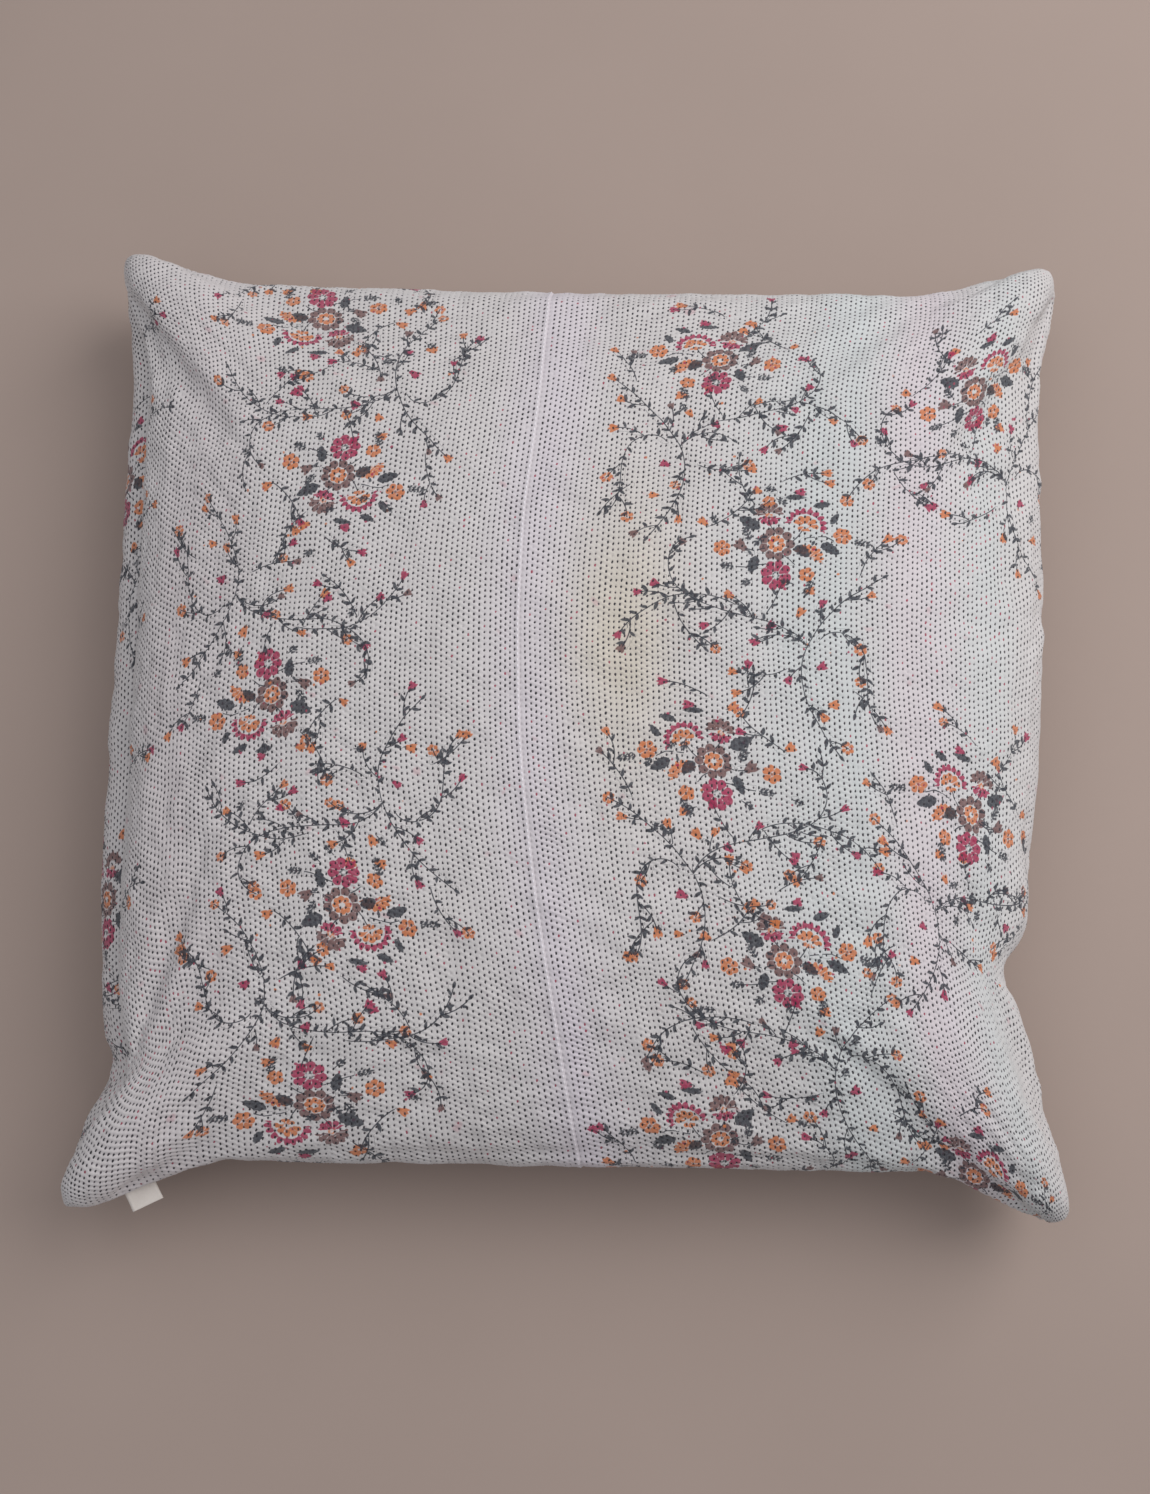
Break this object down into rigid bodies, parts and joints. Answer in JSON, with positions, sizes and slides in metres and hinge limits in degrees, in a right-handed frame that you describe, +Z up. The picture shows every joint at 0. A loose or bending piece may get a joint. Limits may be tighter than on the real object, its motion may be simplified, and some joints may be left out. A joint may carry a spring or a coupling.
{
  "type": "floor cushion",
  "caption": "Square floor cushion: quilted cover with puffed corner ears, lapped front join, edge zip with slider and tab, and a fibre-filled inner pad.",
  "frame": {"origin": "under the middle of the cushion, on the surface that it rests on", "axes": "+Z up, +X to the right of the printed front with the zip towards the viewer, +Y away from the zip"},
  "size_m": [0.833, 0.8272, 0.206],
  "materials": {
    "quilted_cotton": "matte quilted cotton",
    "pale_thread": "cotton thread",
    "label_tape": "woven cotton tape",
    "zip_tape": "woven polyester tape",
    "zip_nylon": "nylon coil",
    "zip_metal": "nickel-plated zinc",
    "calico": "plain unbleached cotton",
    "polyester_fibre": "loose hollow fibre"
  },
  "bodies": {
    "cushion": {"front_panel_left": "quilted_cotton", "front_panel_right": "quilted_cotton", "back_panel": "quilted_cotton", "centre_join_thread": "pale_thread", "edge_seam_thread": "pale_thread", "side_label": "label_tape", "zip_tape_front": "zip_tape", "zip_tape_back": "zip_tape", "zip_coil_front": "zip_nylon", "zip_coil_back": "zip_nylon", "zip_stitching_front": "pale_thread", "zip_stitching_back": "pale_thread", "zip_bottom_stop": "zip_metal", "zip_top_stop_front": "zip_metal", "zip_top_stop_back": "zip_metal", "inner_case_front": "calico", "inner_case_back": "calico", "inner_case_thread": "pale_thread", "fibre_filling": "polyester_fibre"},
    "slider": {"zip_slider": "zip_metal"},
    "pull_tab": {"zip_pull_tab": "zip_metal"}
  },
  "joints": [
    {"name": "zip_slide", "type": "slide", "parent": "cushion", "child": "slider", "axis": [1, 0, 0], "range_m": [-0.478, 0]},
    {"name": "pull_tab_swing", "type": "hinge", "parent": "slider", "child": "pull_tab", "pos_m": [0.2394, -0.3635, 0.085], "axis": [0, 0, 1], "range_deg": [0, 170]}
  ]
}
